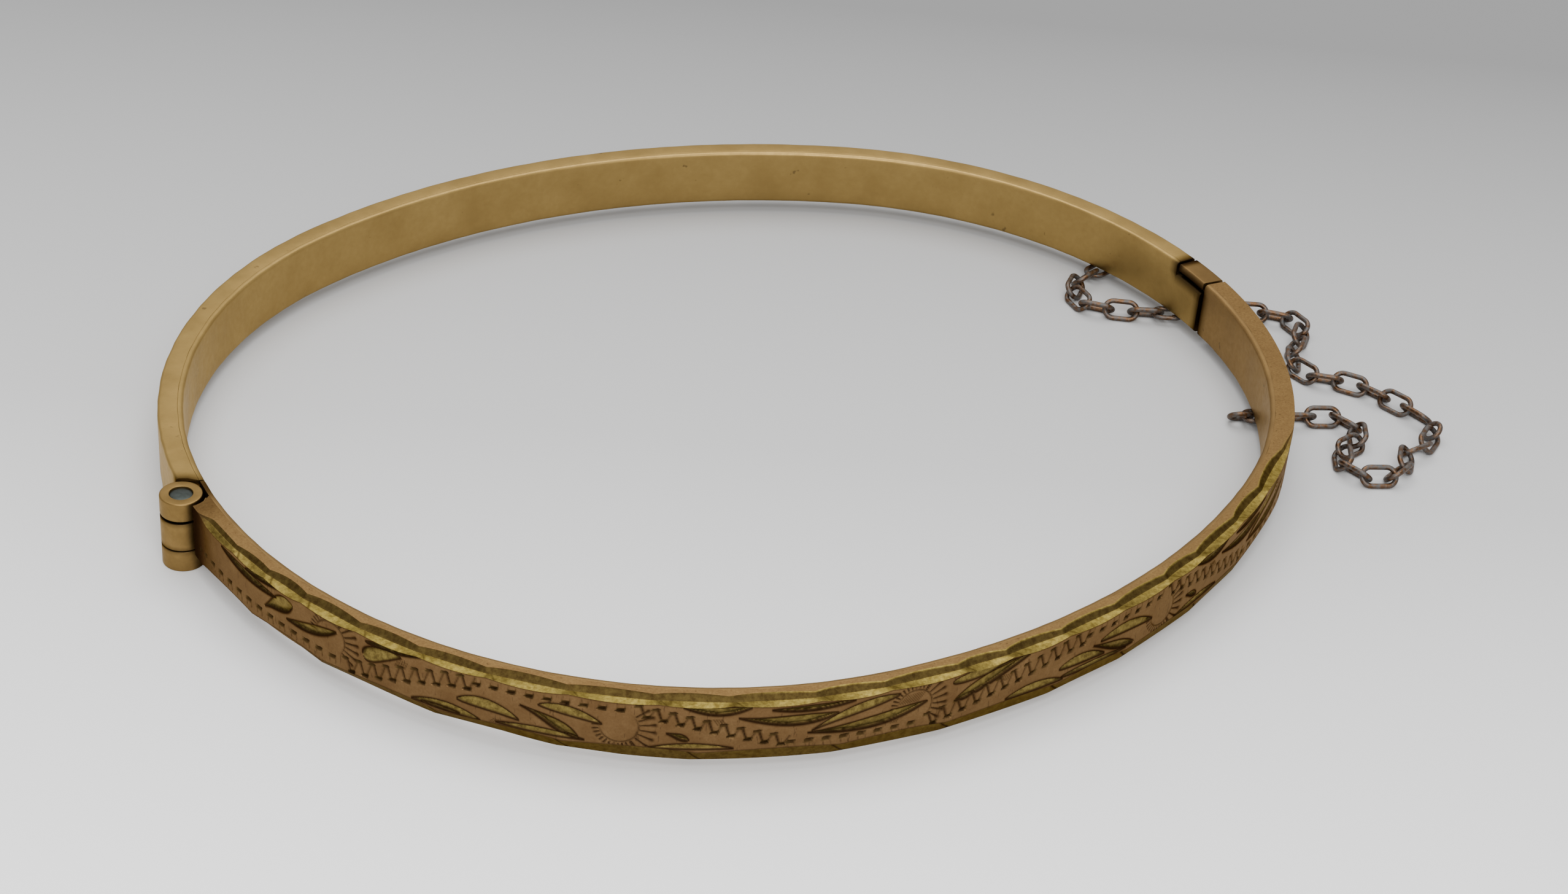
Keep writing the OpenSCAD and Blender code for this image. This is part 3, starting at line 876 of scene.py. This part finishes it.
def section_runs(corners):
    """Depth and height of the points on each run."""
    depth = {}
    height = {}
    for name, (begin, finish, count) in RUNS.items():
        t = np.linspace(0, 1, count)
        for values, axis in ((depth, 0), (height, 1)):
            values[name] = corners[begin][axis][:, None] * (1 - t) + corners[finish][axis][:, None] * t
    return depth, height


def seams(x, starts, across):
    """Dark slanted lines where one edge cut runs over the next. across is how far each
    column of points is from the cut's outer line."""
    lines = np.zeros((len(x), len(across)))
    for start in starts:
        lines += np.exp(-((x[:, None] - start - 0.25 - 0.6 * across) / 0.07) ** 2)
    return np.clip(lines, 0, 1)


def shell_marks(x, plate, from_edge, top, low, fade):
    """The four layers on each run."""
    marks = {name: np.zeros((len(LAYERS), len(x), count)) for name, (_, _, count) in RUNS.items()}
    outline = np.exp(-(from_edge / 0.045) ** 2) * fade[:, None]
    # The face's dirt and painted shade fade towards the clasp
    lighter_by_clasp = 1 - 0.6 * smooth((x - 66.0) / 10.0)[:, None]
    marks["face"][CUT] = plate.cut
    marks["face"][DIRT_AND_SHADE] = np.maximum(plate.dirt_and_shade, 0.7 * outline) * lighter_by_clasp
    for name, cuts, amount, nearest in (("low_outer", low, 0.75, 0.5), ("low_cut", low, 0.75, 0),
                                        ("top_cut", top, 1.0, 0.5), ("top_outer", top, 1.0, 0)):
        across = nearest + np.linspace(0.5, 0, RUNS[name][2])
        marks[name][CUT] = amount * fade[:, None]
        marks[name][DIRT_AND_SHADE] = 0.6 * seams(x, cuts.starts, across) * fade[:, None]
    # Painted shade on the lower cut, whose facets face down
    marks["low_cut"][DIRT_AND_SHADE] += 0.36
    marks["low_outer"][DIRT_AND_SHADE] += 0.38

    # The upper cuts get a painted highlight by the face, each to its own degree and weaker near the hinge, and
    # painted shade by the rim
    lit = 0.4 + 0.6 * smooth((x - 6) / 8)
    marks["top_cut"][PAINTED_HIGHLIGHT] = ((0.45 + 0.45 * top.kind) * fade * lit)[:, None]
    outer = marks["top_outer"]
    # Painted shade on the steep facet by the rim
    outer[DIRT_AND_SHADE] = np.maximum(outer[DIRT_AND_SHADE], 0.58 * fade[:, None])
    # Painted highlight along the rim's edge towards the clasp, after a dark dirt line
    edge_highlight = smooth((x - EDGE_HIGHLIGHT_FROM) / 6.0)
    outer[DIRT_AND_SHADE][:, -1] = 0.7 * (1 - edge_highlight) * fade
    outer[PAINTED_HIGHLIGHT][:, -1] = 0.7 * edge_highlight * fade
    marks["top_rim"][PAINTED_HIGHLIGHT][:, 0] = 0.7 * edge_highlight * fade

    # Painted shade darkens the face and cuts beside the hinge barrel, less on the rim, and the rims are worn
    # smooth
    by_hinge = 0.97 * np.exp(-((x - x[0]) / 2.5) ** 2.2)[:, None]
    for name in ("low_outer", "low_cut", "face", "top_cut", "top_outer"):
        marks[name][DIRT_AND_SHADE] = np.maximum(marks[name][DIRT_AND_SHADE], by_hinge)
    marks["top_rim"][DIRT_AND_SHADE] = 0.5 * by_hinge
    marks["top_rim"][WORN] = 1
    marks["low_rim"][WORN] = 1
    return marks


def shell_points(x, depth, height):
    """Points of the closed C section at each length: the outer runs, then the inside."""
    inside = np.array([(SHELL_T, TOP - SHEET_T), (SHEET_T, TOP - SHEET_T),
                       (SHEET_T, LOW + SHEET_T), (SHELL_T, LOW + SHEET_T)])
    inside_depth, inside_z = (np.tile(values, (len(x), 1)) for values in inside.T)
    depth = np.hstack(list(depth.values()) + [inside_depth])
    z = np.hstack([LOW + run for run in height.values()] + [inside_z])
    # Beside the barrel the end follows the barrel's round
    start = barrel_start(np.clip(depth, 0, SHELL_T), -1, FRONT_SHELL_END_Y, SHELL_CLEAR)
    near_end = np.clip(1 - (x[:, None] - x[0]) / 2.5, 0, 1)
    px, py = front.place(x[:, None] + (start + FRONT_SHELL_END_Y) * near_end, depth)
    points = np.stack([px, py, z], -1)
    return points, len(inside)


def build_engraved_shell():
    """The front half's outer shell, in two pieces that meet at its middle."""
    step = 0.062
    end = front.length - JOINT_GAP / 2
    x = np.arange(-FRONT_SHELL_END_Y, end, step)
    x[-1] = end
    top = EdgeCuts(x, TOP_CUTS_START, TOP_CUT_LENGTHS, seed=5)
    low = EdgeCuts(x, LOW_CUTS_START, LOW_CUT_LENGTHS, seed=11)
    fade = smooth((x - TOP_CUTS_START) / 2.0) * smooth((TOP_CUTS_END - x) / 5.0)
    corners = section_corners(x, end, top, low, fade)
    depth, height = section_runs(corners)

    plate = Plate(x, height["face"])
    engrave(plate, end)
    above_low = plate.z - corners["low_a"][1][:, None]
    below_top = corners["top_a"][1][:, None] - plate.z
    from_edge = np.minimum(above_low, below_top)
    depth["face"] = plate.depth * smooth(from_edge / 0.05)
    marks = shell_marks(x, plate, from_edge, top, low, fade)

    points, unmarked = shell_points(x, depth, height)
    clean = np.zeros((len(LAYERS), len(x), unmarked))
    marks = np.concatenate(list(marks.values()) + [clean], axis=2)
    middle = len(x) // 2
    for name, rows in (("engraved_shell_hinge_side", slice(0, middle + 1)),
                       ("engraved_shell_clasp_side", slice(middle, len(x)))):
        part = points[rows]
        faces = grid_faces(part.shape[0], part.shape[1], True)
        piece = new_object(name, part.reshape(-1, 3), faces)
        for label, values in zip(LAYERS, marks):
            write_layer(piece, label, values[rows])
        sharpen(piece, 40)
        mount(piece, "front_half", ["front_outer_shell"], cut_gold)


# ---- CAD nodes that are shown as they are -------------------------------------


def paint_nodes():
    """Gives every CAD node the material of its slot in the record."""
    looks = {
        "gold": rose_gold,
        "chain_metal": dark_metal,
        "pin_steel": steel,
        "engraved_gold": cut_gold,
    }
    for part in frame["record"]["subparts"]:
        node = frame["nodes"][part["node"]]
        for slot in node.material_slots:
            slot.material = looks[part["material_slot"]]


# ---- Floor, light and camera ---------------------------------------------------


def build_stage():
    """Plain pale floor, with painted shade that darkens it away from the camera."""
    half = 3000
    away_from_camera = (0.47, 0.883, 0.0)
    darkens_from = -40
    darkens_over = 100
    points = [(-half, -half, 0), (half, -half, 0), (half, half, 0), (-half, half, 0)]
    floor = new_object("floor", points, [(0, 1, 2, 3)], flat=True)
    s = Shader("floor")
    s.bsdf.inputs["Specular IOR Level"].default_value = 0.0
    away = s.add("ShaderNodeVectorMath", {"operation": "DOT_PRODUCT"})
    s.put(away.inputs[0], s.where)
    s.put(away.inputs[1], away_from_camera)
    past = s.maths("SUBTRACT", away.outputs["Value"], darkens_from * MM)
    place = s.maths("DIVIDE", past, darkens_over * MM, clamp=True)
    # Painted shade: the floor's colour falls from 1.0 near the camera to 0.24 far from it
    tone = s.ramp(place, (0.0, 1.0), (0.4, 0.55), (1.0, 0.24))
    grain = s.noise(400.0, 1.0)
    tone = s.mix(s.maths("MULTIPLY", grain, 0.02), tone, (0.6,) * 3)
    floor.data.materials.append(s.finish(tone, 0.0, 1.0))


def add_light(name, position, target, size, power):
    """Round lamp aimed at target, with its diameter in millimetres and power in watts."""
    lamp = bpy.data.lights.new(name, "AREA")
    lamp.shape = "DISK"
    lamp.size = size * MM
    lamp.energy = power
    piece = bpy.data.objects.new(name, lamp)
    piece.location = Vector(position) * MM
    aim = Vector(target) * MM - piece.location
    piece.rotation_euler = aim.to_track_quat("-Z", "Y").to_euler()
    bpy.context.scene.collection.objects.link(piece)


def build_lights():
    """White room, a wide lamp overhead and behind, and a weaker one in front."""
    world = bpy.data.worlds.new("studio")
    world.use_nodes = True
    background = world.node_tree.nodes["Background"]
    background.inputs["Color"].default_value = (1, 1, 1, 1)
    background.inputs["Strength"].default_value = 0.8
    bpy.context.scene.world = world
    add_light("overhead", (60, 130, 520), (0, 0, 0), 520, 2.4)
    add_light("front", (-120, -320, 330), (0, -80, 0), 340, 1.7)


def build_camera():
    """Camera turned about the bangle's upright axis by its azimuth, then rolled."""
    elevation = math.radians(33.151)
    azimuth = math.radians(-28.078)
    roll = math.radians(5.055)
    distance = 155.27
    aim = (2.745, -1.171)
    back_dir = Vector((0, -math.cos(elevation), math.sin(elevation)))
    right = Vector((1, 0, 0))
    up = Vector((0, math.sin(elevation), math.cos(elevation)))
    position = back_dir * distance + aim[0] * right + aim[1] * up
    x_axis = math.cos(roll) * right + math.sin(roll) * up
    y_axis = -math.sin(roll) * right + math.cos(roll) * up
    turn = Matrix.Rotation(azimuth, 3, "Z")
    base = Vector((CENTRE[0], CENTRE[1], LOW))
    axes = Matrix((turn @ x_axis, turn @ y_axis, turn @ back_dir)).transposed()
    data = bpy.data.cameras.new("camera")
    data.sensor_width = 36
    data.lens = 63.825
    data.clip_start = 0.01
    data.clip_end = 20
    camera = bpy.data.objects.new("camera", data)
    camera.matrix_world = Matrix.Translation((turn @ position + base) * MM) @ axes.to_4x4()
    bpy.context.scene.collection.objects.link(camera)
    bpy.context.scene.camera = camera


build_camera()
build_stage()
build_lights()
paint_nodes()
build_back_half()
build_front_lining()
build_thumb_piece()
build_hinge()
build_engraved_shell()
